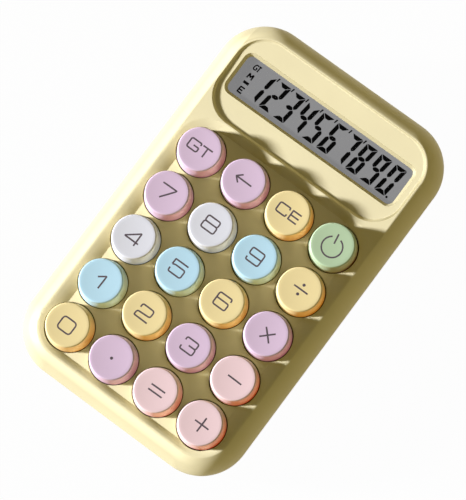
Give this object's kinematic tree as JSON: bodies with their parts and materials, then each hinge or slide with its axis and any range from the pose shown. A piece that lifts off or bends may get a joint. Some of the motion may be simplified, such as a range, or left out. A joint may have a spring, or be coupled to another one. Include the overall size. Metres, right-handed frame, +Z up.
{
  "type": "desk calculator",
  "caption": "Wedge-shaped desk calculator with round sprung keys in a recess, a tilted readout window and a battery door underneath.",
  "frame": {"origin": "middle of the footprint, on the surface that the four feet stand on", "axes": "+X to the right of the keyboard, +Y from the front edge to the display, +Z up"},
  "size_m": [0.0918, 0.1468, 0.0336],
  "materials": {
    "case_plastic": "fine satin moulding, cream yellow",
    "key_lilac": "satin moulded key, lilac",
    "key_yellow": "satin moulded key, pale yellow",
    "key_green": "satin moulded key, sage green",
    "key_white": "satin moulded key, white",
    "key_blue": "satin moulded key, light blue",
    "key_pink": "satin moulded key, pale pink",
    "stem_plastic": "smooth moulded plunger",
    "housing_plastic": "moulded switch body",
    "spring_steel": "drawn spring wire",
    "window_clear": "clear polished sheet",
    "readout_glass": "grey reflective readout",
    "holder_plastic": "moulded frame",
    "contact_rubber": "layered contact rubber",
    "foot_rubber": "soft matt rubber",
    "board_laminate": "green board with solder mask",
    "chip_resin": "black moulded drop",
    "ribbon_film": "flat film lead",
    "cell_jacket": "plain printed jacket",
    "contact_steel": "plated sheet",
    "screw_steel": "zinc-plated steel",
    "lead_insulation": "insulated wire"
  },
  "bodies": {
    "case": {"upper_case": "case_plastic", "lower_case": "case_plastic", "battery_contacts": "contact_steel", "battery_leads": "lead_insulation", "battery_cell": "cell_jacket", "board_screws": "screw_steel", "case_screws": "screw_steel", "controller_chip": "chip_resin", "display_board": "board_laminate", "key_board": "board_laminate", "display_window": "window_clear", "lcd_glass": "readout_glass", "lcd_holder": "holder_plastic", "ribbon_cable": "ribbon_film", "rubber_feet": "foot_rubber", "switch_housings": "housing_plastic", "switch_springs": "spring_steel", "zebra_strip": "contact_rubber"},
    "battery_door": {"battery_door": "case_plastic"},
    "key_gt": {"keycap_gt": "key_lilac", "stem_gt": "stem_plastic"},
    "key_backspace": {"keycap_backspace": "key_lilac", "stem_backspace": "stem_plastic"},
    "key_ce": {"keycap_ce": "key_yellow", "stem_ce": "stem_plastic"},
    "key_power": {"keycap_power": "key_green", "stem_power": "stem_plastic"},
    "key_7": {"keycap_7": "key_lilac", "stem_7": "stem_plastic"},
    "key_8": {"keycap_8": "key_white", "stem_8": "stem_plastic"},
    "key_9": {"keycap_9": "key_blue", "stem_9": "stem_plastic"},
    "key_divide": {"keycap_divide": "key_yellow", "stem_divide": "stem_plastic"},
    "key_4": {"keycap_4": "key_white", "stem_4": "stem_plastic"},
    "key_5": {"keycap_5": "key_blue", "stem_5": "stem_plastic"},
    "key_6": {"keycap_6": "key_yellow", "stem_6": "stem_plastic"},
    "key_multiply": {"keycap_multiply": "key_lilac", "stem_multiply": "stem_plastic"},
    "key_1": {"keycap_1": "key_blue", "stem_1": "stem_plastic"},
    "key_2": {"keycap_2": "key_yellow", "stem_2": "stem_plastic"},
    "key_3": {"keycap_3": "key_lilac", "stem_3": "stem_plastic"},
    "key_minus": {"keycap_minus": "key_pink", "stem_minus": "stem_plastic"},
    "key_0": {"keycap_0": "key_yellow", "stem_0": "stem_plastic"},
    "key_point": {"keycap_point": "key_lilac", "stem_point": "stem_plastic"},
    "key_equals": {"keycap_equals": "key_pink", "stem_equals": "stem_plastic"},
    "key_plus": {"keycap_plus": "key_pink", "stem_plus": "stem_plastic"}
  },
  "joints": [
    {"name": "battery_door_hinge", "type": "hinge", "parent": "case", "child": "battery_door", "pos_m": [0, 0.03784, 0.001], "axis": [-1, 0, 0], "range_deg": [0, 60]},
    {"name": "press_gt", "type": "slide", "parent": "case", "child": "key_gt", "axis": [0, 0.0872, -0.9962], "range_m": [0, 0.0035], "stiffness_N_per_m": 150, "springref_m": -0.003, "deforming": ["switch_springs"]},
    {"name": "press_backspace", "type": "slide", "parent": "case", "child": "key_backspace", "axis": [0, 0.0872, -0.9962], "range_m": [0, 0.0035], "stiffness_N_per_m": 150, "springref_m": -0.003},
    {"name": "press_ce", "type": "slide", "parent": "case", "child": "key_ce", "axis": [0, 0.0872, -0.9962], "range_m": [0, 0.0035], "stiffness_N_per_m": 150, "springref_m": -0.003},
    {"name": "press_power", "type": "slide", "parent": "case", "child": "key_power", "axis": [0, 0.0872, -0.9962], "range_m": [0, 0.0035], "stiffness_N_per_m": 150, "springref_m": -0.003},
    {"name": "press_7", "type": "slide", "parent": "case", "child": "key_7", "axis": [0, 0.0872, -0.9962], "range_m": [0, 0.0035], "stiffness_N_per_m": 150, "springref_m": -0.003},
    {"name": "press_8", "type": "slide", "parent": "case", "child": "key_8", "axis": [0, 0.0872, -0.9962], "range_m": [0, 0.0035], "stiffness_N_per_m": 150, "springref_m": -0.003},
    {"name": "press_9", "type": "slide", "parent": "case", "child": "key_9", "axis": [0, 0.0872, -0.9962], "range_m": [0, 0.0035], "stiffness_N_per_m": 150, "springref_m": -0.003},
    {"name": "press_divide", "type": "slide", "parent": "case", "child": "key_divide", "axis": [0, 0.0872, -0.9962], "range_m": [0, 0.0035], "stiffness_N_per_m": 150, "springref_m": -0.003},
    {"name": "press_4", "type": "slide", "parent": "case", "child": "key_4", "axis": [0, 0.0872, -0.9962], "range_m": [0, 0.0035], "stiffness_N_per_m": 150, "springref_m": -0.003},
    {"name": "press_5", "type": "slide", "parent": "case", "child": "key_5", "axis": [0, 0.0872, -0.9962], "range_m": [0, 0.0035], "stiffness_N_per_m": 150, "springref_m": -0.003},
    {"name": "press_6", "type": "slide", "parent": "case", "child": "key_6", "axis": [0, 0.0872, -0.9962], "range_m": [0, 0.0035], "stiffness_N_per_m": 150, "springref_m": -0.003},
    {"name": "press_multiply", "type": "slide", "parent": "case", "child": "key_multiply", "axis": [0, 0.0872, -0.9962], "range_m": [0, 0.0035], "stiffness_N_per_m": 150, "springref_m": -0.003},
    {"name": "press_1", "type": "slide", "parent": "case", "child": "key_1", "axis": [0, 0.0872, -0.9962], "range_m": [0, 0.0035], "stiffness_N_per_m": 150, "springref_m": -0.003},
    {"name": "press_2", "type": "slide", "parent": "case", "child": "key_2", "axis": [0, 0.0872, -0.9962], "range_m": [0, 0.0035], "stiffness_N_per_m": 150, "springref_m": -0.003},
    {"name": "press_3", "type": "slide", "parent": "case", "child": "key_3", "axis": [0, 0.0872, -0.9962], "range_m": [0, 0.0035], "stiffness_N_per_m": 150, "springref_m": -0.003},
    {"name": "press_minus", "type": "slide", "parent": "case", "child": "key_minus", "axis": [0, 0.0872, -0.9962], "range_m": [0, 0.0035], "stiffness_N_per_m": 150, "springref_m": -0.003},
    {"name": "press_0", "type": "slide", "parent": "case", "child": "key_0", "axis": [0, 0.0872, -0.9962], "range_m": [0, 0.0035], "stiffness_N_per_m": 150, "springref_m": -0.003},
    {"name": "press_point", "type": "slide", "parent": "case", "child": "key_point", "axis": [0, 0.0872, -0.9962], "range_m": [0, 0.0035], "stiffness_N_per_m": 150, "springref_m": -0.003},
    {"name": "press_equals", "type": "slide", "parent": "case", "child": "key_equals", "axis": [0, 0.0872, -0.9962], "range_m": [0, 0.0035], "stiffness_N_per_m": 150, "springref_m": -0.003},
    {"name": "press_plus", "type": "slide", "parent": "case", "child": "key_plus", "axis": [0, 0.0872, -0.9962], "range_m": [0, 0.0035], "stiffness_N_per_m": 150, "springref_m": -0.003}
  ]
}
